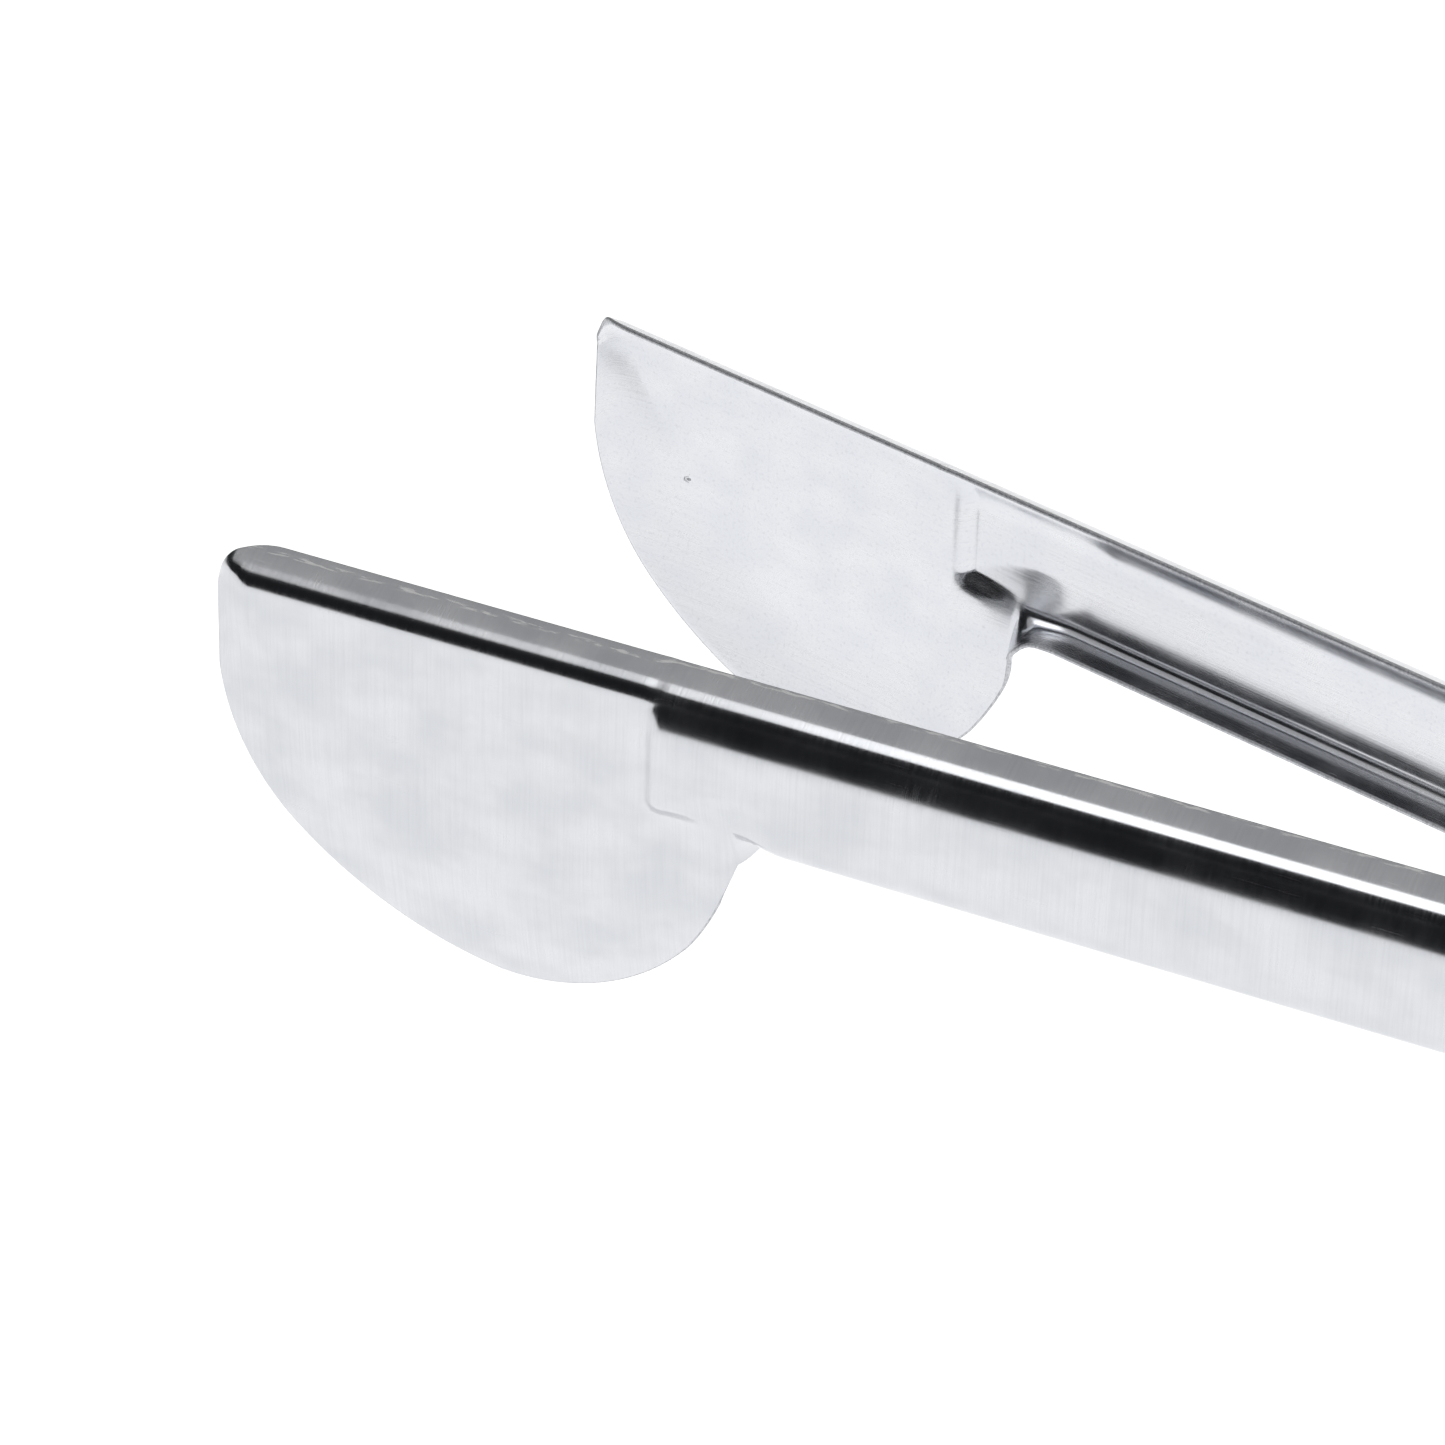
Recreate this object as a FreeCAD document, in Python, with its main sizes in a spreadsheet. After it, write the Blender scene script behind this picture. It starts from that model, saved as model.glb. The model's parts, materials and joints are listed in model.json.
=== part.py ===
import FreeCAD, Part
import Sketcher
import math
import os

# Sprung serving tongs: two pressed stainless arms with broad half-round blades, hinged on a
# rivet at the back, pushed open by a torsion spring and held shut by a pull-out slider.
# Frame: +Z up along the rivet, blades towards -X, front arm on the -Y side, origin under the
# middle of the tongs at the height of the blades' lowest point. The tongs are drawn open.

doc = FreeCAD.newDocument("serving_tongs")

# ---------------------------------------------------------------- driving dimensions (mm, degrees)
DIMENSIONS = [
    ("pivot_x", 102.55),           # rivet axis, ahead of the origin
    ("open_angle", 7.3),           # each arm off the middle plane when open
    ("close_travel", 8.1),         # each arm's swing from open to shut
    ("sheet", 0.6),                # thickness of the pressed sheet
    ("arm_reach", 235.3),          # rivet axis to the blade's tip edge
    ("blade_plane", 10.8),         # blade's outer face, off the arm's own middle plane
    ("panel_raise", 1.4),          # raised panel stands this much proud of the blade
    ("top_edge", 48.2),            # free edge of the top flange above the blade's lowest point
    ("arm_base", 28.4),            # underside of the arm
    ("flange_depth", 5.05),        # top flange, blade face to free edge
    ("flange_splay", 25.0),        # top flange's rise from level
    ("base_flange_depth", 5.7),    # lower flange, panel face to free edge
    ("top_bend", 3.4),             # outer radius of the top bend
    ("base_bend", 2.4),            # outer radius of the lower bend
    ("shoulder_bend", 8.0),        # soft shoulder along the panel's top
    ("crease_drop", 5.6),          # free edge down to the crease above the panel
    ("shoulder_drop", 2.1),        # crease down to the panel's flat face
    ("panel_start", 58.0),         # blade's tip edge to the raised panel
    ("neck", 73.6),                # blade's tip edge to the end of the neck curve
    ("neck_drop", 1.0),            # the neck curve ends this far below the arm
    ("tip_corner", 5.0),           # radius of the blade's upper tip corner
    ("ear_front", 30.0),           # ears reach this far ahead of the rivet
    ("ear_back", 8.0),             # and this far behind it
    ("lower_ear_front", 12.0),
    ("ear_inset", 6.2),            # ears reach this far across the middle plane
    ("ear_corner", 3.0),
    ("ear_gap", 0.1),              # air between neighbouring ears, slider and heads
    ("upper_ear", 42.3),           # underside of the lower of the two upper ears
    ("rivet_radius", 2.0),
    ("running_gap", 0.05),         # radial clearance of everything that turns on the rivet
    ("rivet_head_radius", 4.0),
    ("rivet_head_rise", 1.3),
    ("washer_radius", 4.4),
    ("washer_thickness", 0.6),
    ("bush_radius", 2.9),
    ("slider_thickness", 1.0),
    ("slider_front", 27.5),        # slider's front end ahead of the rivet, tongs open
    ("slider_back", 20.0),         # centre of the hanging loop behind the rivet, tongs open
    ("slider_half_width", 5.0),
    ("loop_radius", 7.0),
    ("hanging_radius", 4.0),
    ("slider_travel", 6.0),        # pulled out this far when the tongs are shut
    ("pin_radius", 1.0),
    ("pin_head_radius", 2.0),
    ("pin_head_rise", 0.8),
    ("pin_reach", 24.0),           # lock pin ahead of the rivet, tongs open
    ("slot_gap", 0.3),             # radial room around the lock pin and the bush
    ("wire_radius", 0.7),
    ("coil_radius", 4.4),          # centre line of the coil
    ("coil_turns", 5.0),
    ("coil_pitch", 1.6),
    ("coil_base", 31.4),           # height of the first turn's centre line
    ("spring_leg", 32.0),          # legs reach this far ahead of the rivet
    ("cut_margin", 2.0),           # outlines that cut metal away run this far past it
]
sheet = doc.addObject("Spreadsheet::Sheet", "Sizes")
for row, (alias, number) in enumerate(DIMENSIONS, start=1):
    sheet.set("A%d" % row, alias)
    sheet.set("B%d" % row, str(number))
    sheet.setAlias("B%d" % row, alias)
doc.recompute()


class Size:
    """A length or angle that knows both its value and the expression that gives it."""

    def __init__(self, value, text):
        self.value = float(value)
        self.text = text

    def join(self, symbol, other, result):
        return Size(result, "(%s %s %s)" % (self.text, symbol, other.text))

    def __add__(self, other):
        other = as_size(other)
        return self.join("+", other, self.value + other.value)

    def __sub__(self, other):
        other = as_size(other)
        return self.join("-", other, self.value - other.value)

    def __mul__(self, other):
        other = as_size(other)
        return self.join("*", other, self.value * other.value)

    def __truediv__(self, other):
        other = as_size(other)
        return self.join("/", other, self.value / other.value)

    def __neg__(self):
        return self * -1


def as_size(number):
    """A bare number as a Size."""
    if isinstance(number, Size):
        return number
    return Size(number, "(%r)" % float(number))


def size(alias):
    """The driving dimension with this name."""
    return Size(sheet.get(alias), "Sizes.%s" % alias)


def sine(angle):
    return Size(math.sin(math.radians(angle.value)), "sin(%s)" % angle.text)


def cosine(angle):
    return Size(math.cos(math.radians(angle.value)), "cos(%s)" % angle.text)


def tangent(angle):
    return Size(math.tan(math.radians(angle.value)), "tan(%s)" % angle.text)


def root(number):
    return Size(math.sqrt(number.value), "sqrt(%s)" % number.text)


# ---------------------------------------------------------------- helpers for bodies and sketches
NO_LENGTH = Size(0.0, "0")
HEAD_TURN = 45                     # degrees that a rivet head's dome turns from rim to crown
HEAD_CROWN = 1 / 3                 # its flat crown, as a share of its radius
HEAD_RIM = 1 / 4                   # its straight rim, as a share of its rise
SAME_PLACE = 0.01                  # two points this close are the same corner


def new_body(label):
    body = doc.addObject("PartDesign::Body", label)
    body.Label = label
    return body


def new_sketch(body, name, plane, lift):
    """A sketch on one of the body's own planes, lifted along that plane's normal."""
    origin_plane = None
    for feature in body.Origin.OriginFeatures:
        if feature.Role == plane:
            origin_plane = feature
    sketch = body.newObject("Sketcher::SketchObject", body.Label + "_" + name)
    sketch.AttachmentSupport = [(origin_plane, "")]
    sketch.MapMode = "FlatFace"
    sketch.setExpression("AttachmentOffset.Base.z", as_size(lift).text)
    return sketch


def arc_between(start, end, turn):
    """An arc from start to end that turns by this many degrees, leftwards when positive."""
    chord = end - start
    half_turn = math.radians(abs(turn)) / 2
    radius = chord.Length / (2 * math.sin(half_turn))
    left = FreeCAD.Vector(-chord.y, chord.x, 0).normalize()
    centre_side = radius * math.cos(half_turn) * (1 if turn > 0 else -1)
    centre = (start + end) / 2 + left * centre_side
    first, last = (start, end) if turn > 0 else (end, start)
    first_angle = math.atan2(first.y - centre.y, first.x - centre.x)
    last_angle = math.atan2(last.y - centre.y, last.x - centre.x)
    circle = Part.Circle(centre, FreeCAD.Vector(0, 0, 1), radius)
    return Part.ArcOfCircle(circle, first_angle, last_angle)


def draw_outline(sketch, corners):
    """A closed outline. Each corner is (x, y, turn): turn is None before a straight stretch."""
    points = [FreeCAD.Vector(x.value, y.value, 0) for x, y, turn in corners]
    first_edge = sketch.GeometryCount
    ends = []
    for index, (x, y, turn) in enumerate(corners):
        start = points[index]
        end = points[(index + 1) % len(points)]
        if turn is None:
            sketch.addGeometry(Part.LineSegment(start, end), False)
            ends.append((1, 2))
        else:
            sketch.addGeometry(arc_between(start, end, turn), False)
            ends.append((1, 2) if turn > 0 else (2, 1))
    for index, (x, y, turn) in enumerate(corners):
        edge = first_edge + index
        following = (index + 1) % len(corners)
        join = Sketcher.Constraint("Coincident", edge, ends[index][1],
                                   first_edge + following, ends[following][0])
        sketch.addConstraint(join)
        for kind, place in (("DistanceX", x), ("DistanceY", y)):
            rule = Sketcher.Constraint(kind, -1, 1, edge, ends[index][0], place.value)
            number = sketch.addConstraint(rule)
            sketch.setExpression("Constraints[%d]" % number, place.text)


def draw_circle(sketch, x, y, radius):
    centre = FreeCAD.Vector(x.value, y.value, 0)
    circle = Part.Circle(centre, FreeCAD.Vector(0, 0, 1), radius.value)
    edge = sketch.addGeometry(circle, False)
    rules = [(Sketcher.Constraint("DistanceX", -1, 1, edge, 3, x.value), x),
             (Sketcher.Constraint("DistanceY", -1, 1, edge, 3, y.value), y),
             (Sketcher.Constraint("Radius", edge, radius.value), radius)]
    for rule, value in rules:
        number = sketch.addConstraint(rule)
        sketch.setExpression("Constraints[%d]" % number, value.text)


def pad(body, sketch, length, backwards=False):
    feature = body.newObject("PartDesign::Pad", sketch.Label + "_pad")
    feature.Profile = sketch
    feature.Reversed = backwards
    feature.setExpression("Length", length.text)
    return feature


def cut_through(body, sketch):
    """A pocket through everything on both sides of the sketch."""
    feature = body.newObject("PartDesign::Pocket", sketch.Label + "_cut")
    feature.Profile = sketch
    feature.Type = "ThroughAll"
    feature.Midplane = True
    return feature


def spin(body, sketch, axis):
    """A full turn of the sketch about one of its own lines."""
    feature = body.newObject("PartDesign::Revolution", sketch.Label + "_spin")
    feature.Profile = sketch
    feature.ReferenceAxis = (sketch, [axis])
    feature.Angle = 360
    return feature


def bend(body, base, name, radius, y, z):
    """Round the edge that runs along X at this height and offset."""
    doc.recompute()
    chosen = []
    for number, edge in enumerate(base.Shape.Edges, start=1):
        near = [abs(corner.Y - y.value) < SAME_PLACE and abs(corner.Z - z.value) < SAME_PLACE
                for corner in edge.Vertexes]
        if all(near):
            chosen.append("Edge%d" % number)
    feature = body.newObject("PartDesign::Fillet", body.Label + "_" + name)
    feature.Base = (base, chosen)
    feature.setExpression("Radius", radius.text)
    return feature


def slot_corners(start, end, radius):
    """The four corners of a round-ended slot, ready for draw_outline."""
    run_x = end[0] - start[0]
    run_y = end[1] - start[1]
    length = root(run_x * run_x + run_y * run_y)
    side_x = -run_y / length * radius
    side_y = run_x / length * radius
    return [(start[0] + side_x, start[1] + side_y, 180),
            (start[0] - side_x, start[1] - side_y, None),
            (end[0] - side_x, end[1] - side_y, 180),
            (end[0] + side_x, end[1] + side_y, None)]


def place(item, angle=NO_LENGTH):
    """Stand a piece on the rivet axis, turned about it."""
    item.Placement = FreeCAD.Placement(FreeCAD.Vector(size("pivot_x").value, 0, 0),
                                       FreeCAD.Rotation(FreeCAD.Vector(0, 0, 1), angle.value))
    item.setExpression("Placement.Base.x", "Sizes.pivot_x")
    if angle is not NO_LENGTH:
        item.setExpression("Placement.Rotation.Angle", angle.text)


# ---------------------------------------------------------------- shared places
thickness = size("sheet")
panel_plane = size("blade_plane") + size("panel_raise")
crease_height = size("top_edge") - size("crease_drop")
shoulder_height = crease_height - size("shoulder_drop")
slider_top = size("upper_ear") - size("ear_gap")
slider_base = slider_top - size("slider_thickness")
ear_step = thickness + size("ear_gap")
ears_top = size("upper_ear") + ear_step + thickness
heads_base = ears_top + size("ear_gap")
washer_base = size("arm_base") - size("ear_gap") - size("washer_thickness")
rivet_hole = size("rivet_radius") + size("running_gap")
# Where the web turns into the sloping shoulder, the sheet's inner corner sits this much lower.
shoulder_lift = thickness * size("panel_raise") / size("shoulder_drop") / 2

# The blade's round edge, from the foot of the tip edge to the neck: how far each point lies
# behind the tip and below the top edge, and how far the edge turns on the way to the next.
BLADE_EDGE = [
    (0.0, 14.0, 52),
    (10.3, 36.05, 33),
    (38.6, 48.1, 55),
    (63.2, 37.0, 19),
    (69.2, 24.3, -70),
]


def add_top_flange(body, side):
    """The splayed flange that stiffens the blade and the arm along their top edge."""
    splay = size("flange_splay")
    free_edge = size("blade_plane") - size("flange_depth")
    rise = size("flange_depth") * tangent(splay)
    corner = size("top_edge") - rise
    inner_plane = size("blade_plane") - thickness
    inner_corner = corner + thickness * tangent(splay) - thickness / cosine(splay)
    inner_crease = crease_height - shoulder_lift
    sketch = new_sketch(body, "flange", "YZ_Plane", -size("arm_reach"))
    draw_outline(sketch, [
        (free_edge * side, size("top_edge"), None),
        (size("blade_plane") * side, corner, None),
        (size("blade_plane") * side, crease_height, None),
        (inner_plane * side, inner_crease, None),
        (inner_plane * side, inner_corner, None),
        ((free_edge - thickness * sine(splay)) * side,
         size("top_edge") - thickness * cosine(splay), None),
    ])
    flange = pad(body, sketch, size("arm_reach") - size("ear_front"))
    outer = bend(body, flange, "top_bend", size("top_bend"), size("blade_plane") * side, corner)
    bend(body, outer, "top_bend_inside", size("top_bend") - thickness,
         inner_plane * side, inner_corner)


def add_panel(body, side):
    """The raised panel of the handle with its soft shoulder and level lower flange."""
    inner_plane = panel_plane - thickness
    inner_base = size("arm_base") + thickness
    flange_edge = panel_plane - size("base_flange_depth")
    start = size("panel_start") - size("arm_reach")
    sketch = new_sketch(body, "panel", "YZ_Plane", start)
    draw_outline(sketch, [
        (size("blade_plane") * side, crease_height, None),
        (panel_plane * side, shoulder_height, None),
        (panel_plane * side, size("arm_base"), None),
        (flange_edge * side, size("arm_base"), None),
        (flange_edge * side, inner_base, None),
        (inner_plane * side, inner_base, None),
        (inner_plane * side, shoulder_height - shoulder_lift, None),
        ((size("blade_plane") - thickness) * side, crease_height - shoulder_lift, None),
    ])
    panel = pad(body, sketch, -start - size("ear_front"))
    bends = [
        ("shoulder", size("shoulder_bend"), panel_plane, shoulder_height),
        ("shoulder_inside", size("shoulder_bend") - thickness, inner_plane,
         shoulder_height - shoulder_lift),
        ("base_bend", size("base_bend"), panel_plane, size("arm_base")),
        ("base_bend_inside", size("base_bend") - thickness, inner_plane, inner_base),
    ]
    for name, radius, offset, height in bends:
        panel = bend(body, panel, name, radius, offset * side, height)


def add_blade(body, side):
    """The flat half-round blade, and the wall that closes the end of the raised panel."""
    reach = size("arm_reach")
    lift = (size("blade_plane") - thickness) * -side
    sketch = new_sketch(body, "blade", "XZ_Plane", lift)
    overlap = thickness / 2
    corners = [(as_size(behind) - reach, size("top_edge") - below, turn)
               for behind, below, turn in BLADE_EDGE]
    corners += [
        (size("neck") - reach, size("arm_base") - size("neck_drop"), None),
        (size("neck") - reach, size("arm_base") + overlap, None),
        (size("panel_start") - reach, size("arm_base") + overlap, None),
        (size("panel_start") - reach, crease_height + overlap, None),
        (-reach, crease_height + overlap, None),
    ]
    draw_outline(sketch, corners)
    pad(body, sketch, thickness, backwards=side > 0)

    wall = new_sketch(body, "panel_end", "XZ_Plane", lift)
    start = size("panel_start") - reach
    draw_outline(wall, [
        (start - overlap, size("arm_base"), None),
        (start + overlap, size("arm_base"), None),
        (start + overlap, crease_height, None),
        (start - overlap, crease_height, None),
    ])
    pad(body, wall, size("panel_raise") + thickness, backwards=side > 0)


def round_tip_corner(body):
    """Take the square corner off the blade's upper tip."""
    tip = -size("arm_reach")
    corner = size("tip_corner")
    beyond = size("cut_margin")
    sketch = new_sketch(body, "tip_corner", "XZ_Plane", NO_LENGTH)
    draw_outline(sketch, [
        (tip, size("top_edge") - corner, -90),
        (tip + corner, size("top_edge"), None),
        (tip + corner, size("top_edge") + beyond, None),
        (tip - beyond, size("top_edge") + beyond, None),
        (tip - beyond, size("top_edge") - corner, None),
    ])
    cut_through(body, sketch)


def add_hinge_end(body, side, step):
    """The plain web behind the channel and the two ears that turn on the rivet."""
    upper = size("upper_ear") + step
    lower = size("arm_base") + step
    web = new_sketch(body, "web", "XZ_Plane", (panel_plane - thickness) * -side)
    overlap = thickness
    draw_outline(web, [
        (-size("ear_front") - overlap, size("arm_base"), None),
        (size("ear_back"), size("arm_base"), None),
        (size("ear_back"), upper + thickness, None),
        (-size("ear_front"), upper + thickness, None),
        (-size("ear_front") - overlap, shoulder_height, None),
    ])
    pad(body, web, thickness, backwards=side > 0)
    ears = [("upper_ear", size("ear_front"), upper), ("lower_ear", size("lower_ear_front"), lower)]
    corner = size("ear_corner")
    back = size("ear_back")
    inset = -size("ear_inset")
    for name, front, height in ears:
        sketch = new_sketch(body, name, "XY_Plane", height)
        draw_outline(sketch, [
            (-front, panel_plane * side, None),
            (-front, (inset + corner) * side, 90 * side * -1),
            (corner - front, inset * side, None),
            (back - corner, inset * side, 90 * side * -1),
            (back, (inset + corner) * side, None),
            (back, panel_plane * side, None),
        ])
        draw_circle(sketch, NO_LENGTH, NO_LENGTH, rivet_hole)
        pad(body, sketch, thickness)


def cut_cam_slot(body, side):
    """The slanted slot of the upper ear: the lock pin's path while the arm swings."""
    opened = size("open_angle")
    shut = opened - size("close_travel")
    far = size("pin_reach")
    near = far - size("slider_travel")
    start = (-far * cosine(opened), -far * sine(opened) * side)
    end = (-near * cosine(shut), -near * sine(shut) * side)
    sketch = new_sketch(body, "cam_slot", "XY_Plane", size("upper_ear"))
    draw_outline(sketch, slot_corners(start, end, size("pin_radius") + size("slot_gap")))
    feature = body.newObject("PartDesign::Pocket", sketch.Label + "_cut")
    feature.Profile = sketch
    feature.Midplane = True
    reach = ears_top - size("upper_ear") + size("cut_margin")
    feature.setExpression("Length", (reach * 2).text)


def make_arm(label, side, step):
    """One pressed arm. side is -1 for the front arm and +1 for its mirror image."""
    body = new_body(label)
    add_top_flange(body, side)
    add_panel(body, side)
    add_blade(body, side)
    add_hinge_end(body, side, step)
    cut_cam_slot(body, side)
    round_tip_corner(body)
    place(body, size("open_angle") * -side)


def draw_double_headed_pin(sketch, axis, shank, head, rise, low, high):
    """Half the profile of a pin: a shank from low to high with a flattened dome beyond each end."""
    crown = head * HEAD_CROWN
    rim = rise * HEAD_RIM
    draw_outline(sketch, [
        (axis, low - rise, None),
        (axis + crown, low - rise, HEAD_TURN),
        (axis + head, low - rim, None),
        (axis + head, low, None),
        (axis + shank, low, None),
        (axis + shank, high, None),
        (axis + head, high, None),
        (axis + head, high + rim, HEAD_TURN),
        (axis + crown, high + rise, None),
        (axis, high + rise, None),
    ])


def make_rivet():
    body = new_body("pivot_rivet")
    sketch = new_sketch(body, "profile", "XZ_Plane", NO_LENGTH)
    draw_double_headed_pin(sketch, NO_LENGTH, size("rivet_radius"), size("rivet_head_radius"),
                           size("rivet_head_rise"), washer_base, heads_base)
    spin(body, sketch, "V_Axis")
    place(body)


def make_ring(label, base, height, outer, inner):
    """A washer or a sleeve round the rivet."""
    body = new_body(label)
    sketch = new_sketch(body, "ring", "XY_Plane", base)
    draw_circle(sketch, NO_LENGTH, NO_LENGTH, outer)
    draw_circle(sketch, NO_LENGTH, NO_LENGTH, inner)
    pad(body, sketch, height)
    place(body)


def make_slider():
    """The pull-out strip: slotted round the bush, with a hanging loop at its back end."""
    body = new_body("lock_slider")
    sketch = new_sketch(body, "strip", "XY_Plane", slider_base)
    half = size("slider_half_width")
    front = -size("slider_front")
    corner = size("ear_corner")
    loop = size("loop_radius")
    loop_start = size("slider_back") - root(loop * loop - half * half)
    loop_turn = 360 - 2 * math.degrees(math.asin(half.value / loop.value))
    draw_outline(sketch, [
        (front + corner, -half, None),
        (loop_start, -half, loop_turn),
        (loop_start, half, None),
        (front + corner, half, 90),
        (front, half - corner, None),
        (front, corner - half, 90),
    ])
    draw_circle(sketch, size("slider_back"), NO_LENGTH, size("hanging_radius"))
    draw_circle(sketch, -size("pin_reach"), NO_LENGTH, size("pin_radius"))
    draw_outline(sketch, slot_corners((NO_LENGTH, NO_LENGTH), (-size("slider_travel"), NO_LENGTH),
                                      size("bush_radius") + size("slot_gap")))
    pad(body, sketch, size("slider_thickness"))
    place(body)


def make_lock_pin():
    """The pin riveted through the slider; it runs in the cam slots of both upper ears."""
    body = new_body("lock_pin")
    sketch = new_sketch(body, "profile", "XZ_Plane", NO_LENGTH)
    draw_double_headed_pin(sketch, -size("pin_reach"), size("pin_radius"), size("pin_head_radius"),
                           size("pin_head_rise"), slider_base, heads_base)
    spin(body, sketch, "Edge10")   # the outline's last edge lies on the pin's own axis
    place(body)


def make_spring():
    """A wire coil round the bush whose two straight legs press the arms apart."""
    radius = size("coil_radius").value
    wire = size("wire_radius").value
    base = size("coil_base").value
    leg_end = size("spring_leg").value
    web_inside = (panel_plane - thickness).value - wire
    open_angle = math.radians(size("open_angle").value)
    rest_y = web_inside * math.cos(open_angle) + leg_end * math.sin(open_angle)
    # The leg is the tangent from its resting point on the web to the coil.
    distance = math.hypot(leg_end, rest_y)
    lean = math.atan2(rest_y, leg_end) - math.asin(radius / distance)
    leg_length = math.sqrt(distance ** 2 - radius ** 2)
    sweep = 360 * size("coil_turns").value - 2 * (90 + math.degrees(lean))
    climb = size("coil_pitch").value * sweep / 360
    helix = Part.makeLongHelix(size("coil_pitch").value, climb, radius)
    start_angle = math.degrees(lean) - 90
    helix.rotate(FreeCAD.Vector(0, 0, 0), FreeCAD.Vector(0, 0, 1), start_angle)
    helix.translate(FreeCAD.Vector(0, 0, base))
    start = FreeCAD.Vector(radius * math.sin(lean), -radius * math.cos(lean), base)
    end = FreeCAD.Vector(start.x, -start.y, base + climb)
    facing = FreeCAD.Vector(math.cos(lean), math.sin(lean), 0)
    section = Part.Wire(Part.Circle(start, facing, wire).toShape())
    coil = Part.Wire(helix.Edges).makePipeShell([section], True, True)
    pieces = [coil]
    for point, side in ((start, -1), (end, 1)):
        along = FreeCAD.Vector(-math.cos(lean), side * math.sin(lean), 0)
        pieces.append(Part.makeCylinder(wire, leg_length, point, along))
        pieces.append(Part.makeSphere(wire, point))
    spring = doc.addObject("Part::Feature", "torsion_spring")
    spring.Shape = pieces[0].fuse(pieces[1:])
    place(spring)


make_arm("front_arm", -1, ear_step)
make_arm("rear_arm", 1, NO_LENGTH)
make_rivet()
make_ring("rivet_washer", washer_base, size("washer_thickness"), size("washer_radius"),
          size("rivet_radius"))
bush_base = size("arm_base") + ear_step + ear_step
make_ring("spring_bush", bush_base, slider_top - bush_base, size("bush_radius"),
          size("rivet_radius"))
make_spring()
make_slider()
make_lock_pin()
doc.recompute()

# ---------------------------------------------------------------- check and write the parts
for item in doc.Objects:
    if "Invalid" in item.State or "Error" in item.State:
        raise RuntimeError("%s did not build: %s" % (item.Label, item.State))
os.makedirs("parts", exist_ok=True)
for item in doc.Objects:
    if item.TypeId in ("PartDesign::Body", "Part::Feature"):
        if item.Shape.isNull() or not item.Shape.isValid():
            raise RuntimeError("%s has a bad shape" % item.Label)
        item.Shape.exportStep("parts/%s.step" % item.Label)
        print(item.Label, len(item.Shape.Solids), round(item.Shape.Volume, 1), item.Shape.BoundBox)
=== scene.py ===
import json
import math

import bmesh
import bpy
import numpy as np
from mathutils import Matrix, Vector


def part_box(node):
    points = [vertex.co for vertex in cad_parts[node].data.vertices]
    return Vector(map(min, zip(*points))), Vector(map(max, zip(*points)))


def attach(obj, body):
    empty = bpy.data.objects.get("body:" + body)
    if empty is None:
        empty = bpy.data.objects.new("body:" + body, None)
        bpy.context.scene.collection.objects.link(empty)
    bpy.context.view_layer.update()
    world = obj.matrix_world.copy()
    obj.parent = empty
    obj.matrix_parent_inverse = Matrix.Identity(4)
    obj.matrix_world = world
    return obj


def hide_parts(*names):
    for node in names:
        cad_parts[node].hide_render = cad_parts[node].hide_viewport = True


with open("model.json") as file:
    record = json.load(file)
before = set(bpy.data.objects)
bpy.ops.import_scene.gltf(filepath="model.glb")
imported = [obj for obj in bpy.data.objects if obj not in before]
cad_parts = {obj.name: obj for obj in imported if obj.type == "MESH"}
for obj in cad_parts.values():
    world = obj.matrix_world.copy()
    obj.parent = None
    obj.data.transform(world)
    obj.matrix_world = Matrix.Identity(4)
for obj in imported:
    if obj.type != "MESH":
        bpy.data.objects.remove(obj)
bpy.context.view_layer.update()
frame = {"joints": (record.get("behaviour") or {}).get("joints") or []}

# Sprung stainless serving tongs, in metres. Both arms are pressed from thin sheet, so each is
# worked out as a sheet: one row after another from the blade's tip to the hinge, each row a
# section that runs from the free edge of the top flange, down the face, to the lower edge.

MM = 0.001

# ---------------------------------------------------------------- driving dimensions
joints = {joint["name"]: joint for joint in frame["joints"]}
hinge = joints["front_arm_hinge"]
PIVOT = Vector((hinge["pos_m"][0], hinge["pos_m"][1], 0.0))
OPEN_ANGLE = math.radians(7.3)                 # each arm off the middle plane
CLOSE_TRAVEL = math.radians(hinge["range_deg"][1])
SHEET = 0.6 * MM
EDGE_ROUND = 0.2 * MM                          # cut edges are dressed to this radius
RUNNING_GAP = 0.1 * MM
TOP_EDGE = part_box("front_arm")[1].z            # top of the arms; depths run down from here
ARM_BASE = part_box("rivet_washer")[1].z + RUNNING_GAP
UPPER_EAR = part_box("lock_slider")[1].z + RUNNING_GAP
EAR_STEP = SHEET + RUNNING_GAP                 # the front arm's ears lie on the rear arm's
BLADE_PLANE = 10.8 * MM                        # blade's outer face off the arm's middle plane
BLADE_RIM = 8.5 * MM                           # the blade is dished: its rim lies further in
DISH = 13.0 * MM                               # the dish reaches this far in from the rim
PANEL_RAISE = 1.4 * MM
EAR_INSET = 6.2 * MM                           # ears reach this far across the middle plane
EAR_BACK = 8.0 * MM                            # and this far behind the rivet
EAR_CORNER = 3.0 * MM
UPPER_EAR_FRONT = 30.0 * MM
LOWER_EAR_FRONT = 12.0 * MM
TIP_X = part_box("front_arm")[0].x
REACH = (PIVOT.x - TIP_X + (BLADE_RIM - SHEET) * math.sin(OPEN_ANGLE)) / math.cos(OPEN_ANGLE)
TOP_BEND = 3.4 * MM                            # radius where the flange meets the blade
CHANNEL_BEND = 3.9 * MM                        # radius where it meets the raised panel
BASE_BEND = 2.4 * MM
EAR_BEND = 1.4 * MM
FLANGE = 3.3 * MM                              # flat of the top flange above its bend
FLANGE_FOLD = math.radians(62)                 # how far the top flange is folded over
FLANGE_CROWN = math.radians(5)                 # it goes on curving gently by this much
BASE_FLANGE = 7.0 * MM                         # sheet in the lower flange, bend included
EDGE_DROP = 0.5 * MM                           # the top flange's free edge lies this far down
CREASE_LEAN = math.radians(19)                 # over the panel the bend stops short of upright
SHOULDER = 7.5 * MM                            # radius of the panel's soft shoulder
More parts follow.
